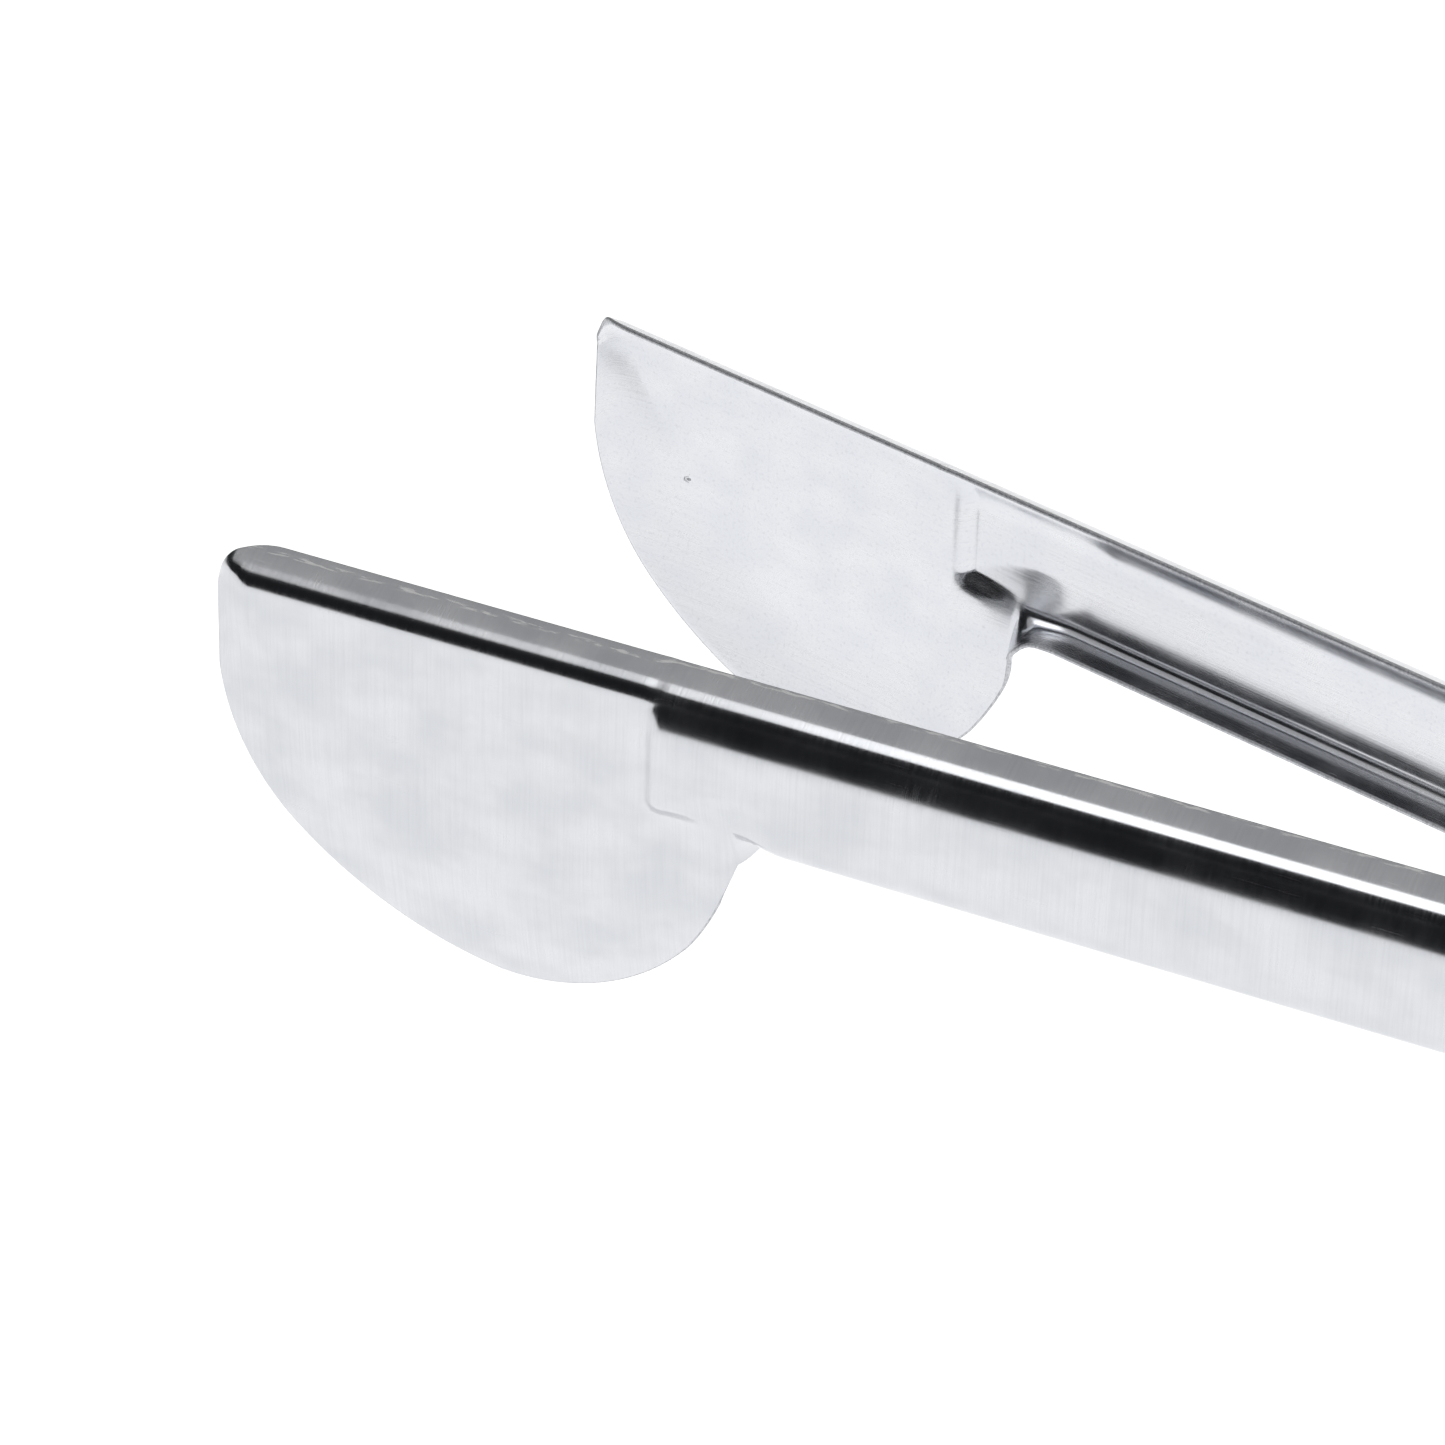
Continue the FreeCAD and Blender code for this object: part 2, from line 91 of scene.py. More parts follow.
SHOULDER_LEAN = math.acos(1 - PANEL_RAISE / SHOULDER)
PANEL_START = 57.4 * MM                        # blade's tip edge to the raised panel
PANEL_RAMP = 3.2 * MM                          # and the panel's front end rises over this much
PANEL_FOOT = 16.6 * MM                         # depth where the panel sinks back into the blade
PANEL_FOOT_RAMP = 2.8 * MM
PANEL_JOIN = 61.0 * MM                         # from here it widens into the whole channel
PANEL_JOIN_RAMP = 9.0 * MM
NECK = 71.6 * MM                               # behind this the blade is over
BLADE_BACK = 60.0 * MM                         # the sheet holds at least a lower flange from here
FOLD_START = 67.5 * MM                         # and starts to fold inwards from here
FOLD_RAMP = 6.5 * MM
HINGE_END = REACH - UPPER_EAR_FRONT - 12 * MM  # the channel turns square for its ears from here
UPPER_EAR_START = REACH - UPPER_EAR_FRONT - 6 * MM
UPPER_EAR_RAMP = 13.0 * MM
LOWER_EAR_START = REACH - LOWER_EAR_FRONT - 9 * MM
LOWER_EAR_RAMP = 11.0 * MM
TIP_CORNER = 8.0 * MM                          # the flange narrows round this corner
LEAST_FLANGE = 0.6 * MM                        # to this much sheet at the tip itself
TIP_DROOP = 1.9 * MM                           # and falls away by this much at the tip
TIP_DROOP_REACH = 2.6 * MM
TIP_EDGE_TOP = 5.0 * MM                        # the upright tip edge starts this far down
TIP_ROLL = 5.0 * MM                            # width of the dish's rolled edge at the tip
DISH_TOP = 6.0 * MM                            # from this depth it widens to the full dish
DISH_TOP_RAMP = 14.0 * MM
DISH_END = 68.0 * MM                           # and behind the blade it fades out
DISH_END_RAMP = 9.0 * MM
DISH_CURVE = 1.25                              # 1 would be a straight bevel round the rim
CREASE_ROUND = 0.2 * MM                        # softens the crease above the raised panel


def smooth(value):
    """An S-curve from 0 to 1 as value goes from 0 to 1; takes a number or an array."""
    value = np.minimum(np.maximum(value, 0.0), 1.0)
    return value * value * (3.0 - 2.0 * value)


# ---------------------------------------------------------------- the blade's round edge
# How far each point lies behind the tip and below the top edge, in millimetres, and how many
# degrees the edge turns on the way to the next point.
BLADE_EDGE = [
    (0.0, 14.0, 50),
    (10.3, 36.05, 33),
    (38.6, 48.1, 55),
    (63.2, 37.0, 19),
    (69.2, 24.3, -44),
    (71.6, 21.6, 0),
]
ARC_STEPS = 24


def blade_edge_points():
    """The round edge as closely spaced points: distance behind the tip and depth."""
    points = []
    for (x0, y0, turn), (x1, y1, _) in zip(BLADE_EDGE, BLADE_EDGE[1:]):
        run, drop = x1 - x0, y0 - y1
        length = math.hypot(run, drop)
        heading = math.atan2(drop, run)
        half_turn = math.radians(turn) / 2
        for step in range(ARC_STEPS):
            angle = half_turn * step / ARC_STEPS
            along = math.sin(angle) / math.sin(half_turn) * length
            lean = heading - half_turn + angle
            points.append(((x0 + along * math.cos(lean)) * MM, (y0 - along * math.sin(lean)) * MM))
    points.append((BLADE_EDGE[-1][0] * MM, BLADE_EDGE[-1][1] * MM))
    points = np.array(points)
    points[:, 0] = np.maximum.accumulate(np.maximum(points[:, 0], 0.0))
    return points


EDGE_POINTS = blade_edge_points()


def blade_depth(behind):
    """Depth of the blade's round edge below the top edge at this distance behind the tip."""
    return float(np.interp(behind, EDGE_POINTS[:, 0], EDGE_POINTS[:, 1]))


# ---------------------------------------------------------------- the pressed arm
FLANGE_STEPS = 12
BEND_STEPS = 12
FACE_STEPS = 44
LOWER_STEPS = 30
CORNER_ROWS = 14
SHORT_BLADE = 30.0 * MM                        # this near the tip the blade may be short, and
FACE_SHARE = 0.6                               # the face takes no more than this share of it
CLOSEST_ROWS = 0.03 * MM
# Stretches of rows: where each starts and how far apart its rows lie, in millimetres. Rows
# are close together at the panel's end, at the neck and where the ears grow out.
ROW_STRETCHES = [(1.0, 1.5), (56.0, 0.25), (62.0, 0.5), (84.0, 2.5), (188.0, 0.6), (232.0, 1.0)]


def row_places():
    """Distances behind the tip at which the arm's section is worked out."""
    back_corner = REACH + EAR_BACK - EAR_CORNER
    ends = [start for start, _ in ROW_STRETCHES[1:]] + [back_corner / MM]
    stretches = [np.arange(start, end, spacing) * MM
                 for (start, spacing), end in zip(ROW_STRETCHES, ends)]
    round_back = np.sin(np.linspace(0, math.pi / 2, CORNER_ROWS))
    corner = back_corner + (EAR_CORNER - EDGE_ROUND) * round_back
    places = np.concatenate([EDGE_POINTS[:, 0]] + stretches + [corner])
    places = np.unique(np.maximum(places, EDGE_ROUND))
    keep = np.concatenate([[True], np.diff(places) > CLOSEST_ROWS])
    return places[keep]


def corner_loss(behind):
    """How much the ears' round back corner takes off their length."""
    into = max(behind - (REACH + EAR_BACK - EAR_CORNER), 0.0)
    return EAR_CORNER - math.sqrt(max(EAR_CORNER ** 2 - into ** 2, 0.0))


# Sheet in an ear: its bend, then the flat that crosses the middle plane.
EAR_SHEET = EAR_BEND * math.pi / 2 + BLADE_PLANE + PANEL_RAISE - EAR_BEND + EAR_INSET


def upper_reach(behind, radius, fold, hinge_end):
    """Sheet above the top bend's foot: the flange, and at the hinge end the upper ear."""
    flange = radius * fold + FLANGE
    if behind < TIP_CORNER:
        flange = max(flange * math.sqrt(1 - (1 - behind / TIP_CORNER) ** 2), LEAST_FLANGE)
    grown = smooth((behind - UPPER_EAR_START) / UPPER_EAR_RAMP)
    return flange * (1 - grown) + EAR_SHEET * grown - corner_loss(behind) - EDGE_ROUND


def lower_reach(behind, face_end):
    """Sheet below the face: the blade, then the lower flange, then the lower ear."""
    to_edge = blade_depth(behind) - face_end
    if behind < BLADE_BACK:
        return to_edge - EDGE_ROUND
    if behind < NECK:
        return max(to_edge, BASE_FLANGE) - EDGE_ROUND
    grown = smooth((behind - LOWER_EAR_START) / LOWER_EAR_RAMP)
    return BASE_FLANGE * (1 - grown) + EAR_SHEET * grown - corner_loss(behind) - EDGE_ROUND


def panel_rise(behind, depth, foot, hinge_end):
    """How far the face stands out: the raised panel has a soft shoulder and a soft end."""
    into = depth - foot
    softened = 0.5 * (into + math.sqrt(into ** 2 + CREASE_ROUND ** 2))
    lean = math.asin(max(math.sin(SHOULDER_LEAN) - softened / SHOULDER, 0.0))
    rise = (math.cos(lean) - math.cos(SHOULDER_LEAN)) / (1 - math.cos(SHOULDER_LEAN))
    rise = rise * (1 - hinge_end) + hinge_end
    start = smooth((behind - PANEL_START) / PANEL_RAMP)
    joined = smooth((behind - PANEL_JOIN) / PANEL_JOIN_RAMP)
    end = (1 - smooth((depth - PANEL_FOOT) / PANEL_FOOT_RAMP)) * (1 - joined) + joined
    return PANEL_RAISE * rise * start * end


def top_bend(hinge_end, raised):
    """The top bend's angle of fold, the flange's crown, the bend's first lean and its radius."""
    fold = FLANGE_FOLD + (math.pi / 2 - FLANGE_FOLD) * hinge_end
    crown = FLANGE_CROWN * (1 - hinge_end)
    lean = CREASE_LEAN * raised * (1 - hinge_end)
    radius = TOP_BEND + (CHANNEL_BEND - TOP_BEND) * raised
    radius += (EAR_BEND - radius) * hinge_end
    return fold, crown, lean, radius


def folded_stretch(behind, foot, hinge_end, raised):
    """The top flange (or upper ear) and its bend, from the free edge down to the foot."""
    fold, crown, lean, radius = top_bend(hinge_end, raised)
    start_out = BLADE_PLANE + panel_rise(behind, foot, foot, hinge_end)
    bend = radius * (fold - lean)
    reach = upper_reach(behind, radius, fold - lean, hinge_end)
    bend_end = min(bend, 0.5 * reach)
    ups = [reach + (bend_end - reach) * step / FLANGE_STEPS for step in range(FLANGE_STEPS)]
    ups += [bend_end * (1 - step / BEND_STEPS) for step in range(BEND_STEPS)]
    points = []
    for up in ups:
        angle = lean + min(up, bend) / radius
        rest = max(up - bend, 0.0)
        middle = fold + crown * rest / FLANGE / 2
        out = start_out - radius * (math.cos(lean) - math.cos(angle)) - rest * math.sin(middle)
        depth = foot - radius * (math.sin(angle) - math.sin(lean)) - rest * math.cos(middle)
        points.append((out, depth, -up))
    return points


def bend_foot(behind, ear_step, hinge_end, raised):
    """Depth at which the top bend runs out into the face."""
    fold, crown, lean, radius = top_bend(hinge_end, raised)
    rise = radius * (math.sin(fold) - math.sin(lean)) + FLANGE * math.cos(fold + crown / 2)
    foot = EDGE_DROP + rise + TIP_DROOP * max(1 - behind / TIP_DROOP_REACH, 0.0) ** 2
    ear_foot = TOP_EDGE - (UPPER_EAR + ear_step + SHEET) + EAR_BEND
    return foot + (ear_foot - foot) * hinge_end


def lower_stretch(behind, foot, face_end, base_radius, hinge_end):
    """The blade below the face, or the lower flange or ear, which folds inwards."""
    length = lower_reach(behind, face_end)
    slack = (BASE_FLANGE / max(length, BASE_FLANGE)) ** 2 if behind < NECK else 1.0
    turn = math.pi / 2 * smooth((behind - FOLD_START) / FOLD_RAMP) * slack
    points = []
    for step in range(LOWER_STEPS + 1):
        run = length * step / LOWER_STEPS
        angle = min(run / base_radius, turn)
        rest = max(run - base_radius * turn, 0.0)
        depth = face_end + base_radius * math.sin(angle) + rest * math.cos(angle)
        lost = base_radius * (1 - math.cos(angle)) + rest * math.sin(angle)
        out = BLADE_PLANE + panel_rise(behind, depth, foot, hinge_end) - lost
        points.append((out, depth, face_end - foot + run))
    return points


def arm_section(behind, ear_step):
    """One row across the sheet: how far out, how deep and how far along the sheet it runs."""
    hinge_end = smooth((behind - HINGE_END) / UPPER_EAR_RAMP)
    raised = smooth((behind - PANEL_START) / PANEL_RAMP)
    foot = bend_foot(behind, ear_step, hinge_end, raised)
    base_radius = BASE_BEND + (EAR_BEND - BASE_BEND) * hinge_end
    face_end = TOP_EDGE - ARM_BASE - base_radius - ear_step * hinge_end
    if behind < SHORT_BLADE:
        face_end = min(face_end, foot + FACE_SHARE * (blade_depth(behind) - foot))

    points = folded_stretch(behind, foot, hinge_end, raised)
    for step in range(FACE_STEPS):
        depth = foot + (face_end - foot) * step / FACE_STEPS
        out = BLADE_PLANE + panel_rise(behind, depth, foot, hinge_end)
        points.append((out, depth, depth - foot))
    points += lower_stretch(behind, foot, face_end, base_radius, hinge_end)
    return np.array(points).T


def rim_distance(behind, depth):
    """Distance of every point from the blade's rim: its tip edge and its round edge."""
    corners = np.vstack([[0.0, TIP_EDGE_TOP], EDGE_POINTS])
    nearest = np.full(behind.shape, 1.0)
    for (x0, y0), (x1, y1) in zip(corners, corners[1:]):
        run, drop = x1 - x0, y1 - y0
        length = run * run + drop * drop
        if length > 0:
            share = np.clip(((behind - x0) * run + (depth - y0) * drop) / length, 0.0, 1.0)
            gap = np.hypot(behind - x0 - share * run, depth - y0 - share * drop)
            nearest = np.minimum(nearest, gap)
    return nearest


def dished(behind, depth):
    """How far the dished blade's face lies inside its plane, most at the rim."""
    width = TIP_ROLL + (DISH - TIP_ROLL) * smooth((depth - DISH_TOP) / DISH_TOP_RAMP)
    share = np.clip(1 - rim_distance(behind, depth) / width, 0.0, 1.0)
    past = smooth((behind - DISH_END) / DISH_END_RAMP)
    return (BLADE_PLANE - BLADE_RIM) * share ** DISH_CURVE * (1 - past)


def arm_grid(side, ear_step):
    """The arm's outer face with the tongs open, and each point's place on the sheet."""
    places = row_places()
    rows = np.array([arm_section(behind, ear_step) for behind in places])
    out, depth, path = rows[:, 0], rows[:, 1], rows[:, 2]
    behind = np.repeat(places[:, None], out.shape[1], axis=1)
    out = out - dished(behind, depth)
    along = behind - REACH
    across = out * side
    angle = -side * OPEN_ANGLE
    points = np.stack([along * math.cos(angle) - across * math.sin(angle) + PIVOT.x,
                       along * math.sin(angle) + across * math.cos(angle) + PIVOT.y,
                       TOP_EDGE - depth], axis=2)
    return points, np.stack([behind, path], axis=2)


def unit(vectors):
    """The vectors at length 1; the small number keeps a zero vector from dividing by zero."""
    return vectors / (np.linalg.norm(vectors, axis=-1, keepdims=True) + 1e-20)


OUTSIDE, INSIDE, CUT_EDGE = range(3)           # which of the arm's materials a face takes
RIM_RINGS = 5                                  # points round each dressed edge


def rim_path(rows, columns):
    """Row and column of every grid point round the sheet's edge, in order."""
    rim = [(row, 0) for row in range(rows)]
    rim += [(rows - 1, column) for column in range(1, columns)]
    rim += [(row, columns - 1) for row in range(rows - 2, -1, -1)]
    rim += [(0, column) for column in range(columns - 2, 0, -1)]
    return rim


def rim_rings(outer, inner, rim):
    """Rings of points that round the sheet's edge over from its face to its back."""
    rows, columns = outer.shape[:2]
    within = [(min(max(r, 1), rows - 2), min(max(c, 1), columns - 2)) for r, c in rim]
    top = np.array([outer[r, c] for r, c in rim])
    bottom = np.array([inner[r, c] for r, c in rim])
    through = unit(bottom - top)
    beside = top - np.array([outer[r, c] for r, c in within])
    run = unit(np.roll(top, -1, axis=0) - np.roll(top, 1, axis=0))
    outwards = beside - run * np.sum(beside * run, axis=1, keepdims=True)
    outwards = unit(outwards - through * np.sum(outwards * through, axis=1, keepdims=True))
    rings = []
    for ring in range(RIM_RINGS):
        turn = math.pi / 2 * min(ring + 1, RIM_RINGS - ring) / (RIM_RINGS // 2 + 1)
        offset = outwards * EDGE_ROUND * math.sin(turn)
        drop = EDGE_ROUND * (1 - math.cos(turn))
        if ring < RIM_RINGS // 2:
            rings.append(top + through * drop + offset)
        elif ring > RIM_RINGS // 2:
            rings.append(bottom - through * drop + offset)
        else:
            rings.append((top + bottom) / 2 + offset)
    return rings


def sheet_mesh(name, outer, places, side):
    """A sheet with a front, a back and a rounded cut edge, from the grid of its outer face."""
    rows, columns = outer.shape[:2]
    normals = unit(np.cross(np.gradient(outer, axis=0), np.gradient(outer, axis=1)))
    clockwise = normals[rows // 2, columns // 2] @ np.array([0.0, side, 0.0]) < 0
    if clockwise:
        normals = -normals
    inner = outer - normals * SHEET
    count = rows * columns
    index = np.arange(count).reshape(rows, columns)
    quads = np.stack([index[:-1, :-1], index[1:, :-1], index[1:, 1:], index[:-1, 1:]], axis=-1)
    quads = quads.reshape(-1, 4)
    front = quads[:, ::-1] if clockwise else quads
    back = front[:, ::-1] + count

    rim = rim_path(rows, columns)
    top_index = np.array([index[r, c] for r, c in rim])
    levels = [top_index]
    levels += [2 * count + len(rim) * ring + np.arange(len(rim)) for ring in range(RIM_RINGS)]
    levels.append(top_index + count)
    strips = [np.stack([upper, lower, np.roll(lower, -1), np.roll(upper, -1)], axis=-1)
              for upper, lower in zip(levels, levels[1:])]
    strips = np.concatenate(strips)
    rim_runs_with_front = (front[0, 0], front[0, 1]) == (index[0, 0], index[1, 0])
    if not rim_runs_with_front:
        strips = strips[:, ::-1]

    faces_of_sheet = [outer.reshape(-1, 3), inner.reshape(-1, 3)]
    vertices = np.concatenate(faces_of_sheet + rim_rings(outer, inner, rim))
    flat = places.reshape(-1, 2)
    rim_places = np.array([places[r, c] for r, c in rim])
    texture = np.concatenate([flat, flat] + [rim_places] * RIM_RINGS)
    faces = np.concatenate([front, back, strips])
    kinds = [OUTSIDE] * len(front) + [INSIDE] * len(back) + [CUT_EDGE] * len(strips)
    return new_piece(name, vertices, faces, kinds, texture)


def new_piece(name, vertices, faces, kinds=None, texture=None):
    """An object made of these points and faces, smooth shaded."""
    mesh = bpy.data.meshes.new(name)
    mesh.from_pydata([tuple(v) for v in vertices], [], [tuple(int(i) for i in f) for f in faces])
    if texture is not None:
        corners = np.array([loop.vertex_index for loop in mesh.loops])
        mesh.uv_layers.new(name="sheet").data.foreach_set("uv", texture[corners].ravel())
    if kinds is not None:
        for _ in range(max(kinds) + 1):
            mesh.materials.append(None)
        mesh.polygons.foreach_set("material_index", kinds)
    mesh.polygons.foreach_set("use_smooth", [True] * len(mesh.polygons))
    mesh.update()
    piece = bpy.data.objects.new(name, mesh)
    bpy.context.scene.collection.objects.link(piece)
    return piece


def slot_outline(start, end, radius, steps=16):
    """Points round a round-ended slot from start to end."""
    run = (end - start).to_2d()
    heading = math.atan2(run.y, run.x)
    points = []
    for centre, first in ((end, heading - math.pi / 2), (start, heading + math.pi / 2)):
        for step in range(steps + 1):
            angle = first + math.pi * step / steps
            points.append((centre.x + radius * math.cos(angle), centre.y + radius * math.sin(angle)))
    return points


def cut_with(piece, outlines, low, high):
    """Cut upright holes with these outlines through the piece between two heights."""
    vertices, faces = [], []
    for outline in outlines:
        first, count = len(vertices), len(outline)
        vertices += [(x, y, low) for x, y in outline] + [(x, y, high) for x, y in outline]
        faces.append([first + i for i in reversed(range(count))])
        faces.append([first + count + i for i in range(count)])
        for i in range(count):
            j = (i + 1) % count
            faces.append([first + i, first + j, first + count + j, first + count + i])
    cutter = new_piece("cutter", vertices, faces, [CUT_EDGE] * len(faces))
    for polygon in cutter.data.polygons:
        polygon.use_smooth = False
    trim = piece.modifiers.new("holes", "BOOLEAN")
    trim.object = cutter
    trim.operation = "DIFFERENCE"
    trim.solver = "EXACT"
    bpy.context.view_layer.update()
    shaped = piece.evaluated_get(bpy.context.evaluated_depsgraph_get())
    mesh = bpy.data.meshes.new_from_object(shaped)
    piece.modifiers.clear()
    piece.data = mesh
    bpy.data.objects.remove(cutter)


PIN_X = (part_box("lock_pin")[0].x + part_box("lock_pin")[1].x) / 2
PIN_RADIUS = 1.0 * MM
SLOT_ROOM = 0.3 * MM                           # radial room round the lock pin and the bush
SLIDER_TRAVEL = joints["lock_slide"]["range_m"][1]
RIVET_RADIUS = 2.0 * MM
CUT_DEPTH = 5.0 * MM                           # the hole cutter starts this far under the arms


def cam_slot(side):
    """The upper ear's slanted slot: the lock pin's path while this arm swings shut."""
    far = PIVOT.x - PIN_X
    near = far - SLIDER_TRAVEL
    swing = -side * CLOSE_TRAVEL
    start = Vector((-far, 0.0, 0.0))
    end = Matrix.Rotation(swing, 3, "Z") @ Vector((-near, 0.0, 0.0))
    return slot_outline(start + PIVOT, end + PIVOT, PIN_RADIUS + SLOT_ROOM)


def round_outline(centre_x, radius, steps=48):
    """Points round a circle on the middle plane."""
    return [(centre_x + radius * math.cos(2 * math.pi * i / steps),
             PIVOT.y + radius * math.sin(2 * math.pi * i / steps)) for i in range(steps)]


def make_arm(name, node, body, side, ear_step):
    """One pressed arm, with its rivet holes and its cam slot."""
    grid, places = arm_grid(side, ear_step)
    arm = sheet_mesh(name, grid, places, side)
    rivet_hole = round_outline(PIVOT.x, RIVET_RADIUS + RUNNING_GAP / 2)
    cut_with(arm, [rivet_hole, cam_slot(side)], ARM_BASE - CUT_DEPTH, TOP_EDGE)
    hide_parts(node)
    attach(arm, body)
    return arm


# ---------------------------------------------------------------- turned pieces
LATHE_STEPS = 72
DOME_STEPS = 10
RIVET_HEAD_RISE = 1.3 * MM
PIN_HEAD_RISE = 0.8 * MM
CORNER_BREAK = 0.15 * MM                       # sharp corners are taken off by this much
MERGE = 1e-6                                   # points nearer than this are one point


def rounded(profile, radius, steps=5):
    """The profile with its inner corners rounded: short arcs between neighbouring straights."""
    result = [profile[0]]
    for before, corner, after in zip(profile, profile[1:], profile[2:]):
        before, corner, after = (Vector(point) for point in (before, corner, after))
        back = before - corner
        ahead = after - corner
        reach = min(radius, back.length * 0.45, ahead.length * 0.45)
        start = corner + back.normalized() * reach
        end = corner + ahead.normalized() * reach
        for step in range(steps + 1):
            share = step / steps
            left = start.lerp(corner, share)
            result.append(tuple(left.lerp(corner.lerp(end, share), share)))
    result.append(profile[-1])
    return result


def turned_piece(name, profile, centre_x, closed):
    """Spin (radius, height) points about an upright axis; the piece's own origin is on it."""
    vertices, faces = [], []
    count = len(profile)
    for turn in range(LATHE_STEPS):
        angle = 2 * math.pi * turn / LATHE_STEPS
        for radius, height in profile:
            vertices.append((radius * math.cos(angle), radius * math.sin(angle), height))
    for turn in range(LATHE_STEPS):
        following = (turn + 1) % LATHE_STEPS
        for point in range(count if closed else count - 1):
            ahead = (point + 1) % count
            faces.append((turn * count + point, following * count + point,
                          following * count + ahead, turn * count + ahead))
    piece = new_piece(name, vertices, faces)
    shape = bmesh.new()
    shape.from_mesh(piece.data)
    bmesh.ops.remove_doubles(shape, verts=shape.verts, dist=MERGE)
    bmesh.ops.recalc_face_normals(shape, faces=shape.faces)
    shape.to_mesh(piece.data)
    shape.free()
    piece.location = (centre_x, PIVOT.y, 0.0)
    return piece


def pin_profile(shank, head, rise, low, high):
    """Half a double-headed pin: flat crown, domed shoulder, short rim, then the shank."""
    dome = []
    crown = head / 3
    for step in range(DOME_STEPS + 1):
        angle = math.pi / 2 * step / DOME_STEPS
        dome.append((crown + (head - crown) * math.sin(angle), rise * math.cos(angle)))
    bottom = [(radius, low - height) for radius, height in dome]
    top = [(radius, high + height) for radius, height in reversed(dome)]
    return [(0.0, low - rise)] + bottom + [(shank, low), (shank, high)] + top + [(0.0, high + rise)]


def make_rivet():
    """The rivet the arms turn on."""
    low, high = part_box("pivot_rivet")
    head = (high.x - low.x) / 2
    profile = pin_profile(RIVET_RADIUS, head, RIVET_HEAD_RISE,
                          low.z + RIVET_HEAD_RISE, high.z - RIVET_HEAD_RISE)
    rivet = turned_piece("rivet_body", profile, PIVOT.x, closed=False)
    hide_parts("pivot_rivet")
    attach(rivet, "pivot")
    return rivet


def make_lock_pin():
    """The pin riveted through the slider; it runs in both arms' cam slots."""
    low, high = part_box("lock_pin")
    head = (high.x - low.x) / 2
    profile = pin_profile(PIN_RADIUS, head, PIN_HEAD_RISE,
                          low.z + PIN_HEAD_RISE, high.z - PIN_HEAD_RISE)
    pin = turned_piece("lock_pin_body", profile, PIN_X, closed=False)
    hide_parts("lock_pin")
    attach(pin, "slider")
    return pin


def make_ring(name, node):
    """A washer or sleeve round the rivet, its corners taken off."""
    low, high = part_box(node)
    outer = (high.x - low.x) / 2
    start = (outer + RIVET_RADIUS) / 2
    corners = [(start, low.z), (outer, low.z), (outer, high.z), (RIVET_RADIUS, high.z),
               (RIVET_RADIUS, low.z), (start, low.z)]
    ring = turned_piece(name, rounded(corners, CORNER_BREAK)[:-1], PIVOT.x, closed=True)
    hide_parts(node)
    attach(ring, "pivot")
    return ring


# ---------------------------------------------------------------- lock slider
SLIDER_HALF = 5.0 * MM                         # half the strip's width
HANGING_HOLE = 4.0 * MM
SLIDER_STEPS = 10


def slider_edge(low, loop, loop_x):
    """The strip's outline: two round front corners, then the hanging loop at the back."""
    corner = EAR_CORNER - CORNER_BREAK
    front_corners = []
    for centre_y, first, turn in ((EAR_CORNER - SLIDER_HALF, math.pi, math.pi / 2),
                                  (SLIDER_HALF - EAR_CORNER, math.pi / 2, -math.pi / 2)):
        arc = []
        for step in range(SLIDER_STEPS + 1):
            angle = first + turn * step / SLIDER_STEPS
            arc.append((low.x + EAR_CORNER + corner * math.cos(angle),
                        centre_y + corner * math.sin(angle)))
        front_corners.append(arc)
    mouth = math.asin(SLIDER_HALF / loop)
    around = []
    for step in range(5 * SLIDER_STEPS + 1):
        angle = -math.pi + mouth + (2 * math.pi - 2 * mouth) * step / (5 * SLIDER_STEPS)
        around.append((loop_x + (loop - CORNER_BREAK) * math.cos(angle),
                       (loop - CORNER_BREAK) * math.sin(angle)))
    return front_corners[0] + around + front_corners[1][::-1]


def make_slider():
    """A punched strip with a hanging loop, a slot round the bush and a hole for the pin."""
    low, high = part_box("lock_slider")
    loop = (high.y - low.y) / 2
    loop_x = high.x - loop
    bush = (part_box("spring_bush")[1].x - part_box("spring_bush")[0].x) / 2
    slot_end = PIVOT - Vector((SLIDER_TRAVEL, 0.0, 0.0))
    outlines = [slider_edge(low, loop, loop_x),
                round_outline(loop_x, HANGING_HOLE + CORNER_BREAK),
                round_outline(PIN_X, PIN_RADIUS + CORNER_BREAK),
                slot_outline(PIVOT, slot_end, bush + SLOT_ROOM + CORNER_BREAK)]
    curve = bpy.data.curves.new("slider_outline", "CURVE")
    curve.dimensions = "2D"
    curve.fill_mode = "BOTH"
    curve.extrude = (high.z - low.z) / 2 - CORNER_BREAK
    curve.bevel_depth = CORNER_BREAK
    curve.bevel_resolution = 2
    for points in outlines:
        spline = curve.splines.new("POLY")
        spline.points.add(len(points) - 1)
        for point, (x, y) in zip(spline.points, points):
            point.co = (x, y, 0.0, 1.0)
        spline.use_cyclic_u = True
    slider = mesh_from_curve("slider_strip", curve, Vector((0.0, 0.0, (low.z + high.z) / 2)))
    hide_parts("lock_slider")
    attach(slider, "slider")
    return slider


def mesh_from_curve(name, curve, location):
    """The curve's solid shape as a plain mesh object."""
    drawn = bpy.data.objects.new("drawn", curve)
    bpy.context.scene.collection.objects.link(drawn)
    bpy.context.view_layer.update()
    graph = bpy.context.evaluated_depsgraph_get()
    mesh = bpy.data.meshes.new_from_object(drawn.evaluated_get(graph))
    bpy.data.objects.remove(drawn)
    shape = bmesh.new()
    shape.from_mesh(mesh)
    bmesh.ops.remove_doubles(shape, verts=shape.verts, dist=MERGE)
    shape.to_mesh(mesh)
    shape.free()
    piece = bpy.data.objects.new(name, mesh)
    bpy.context.scene.collection.objects.link(piece)
    piece.location = location
    return piece


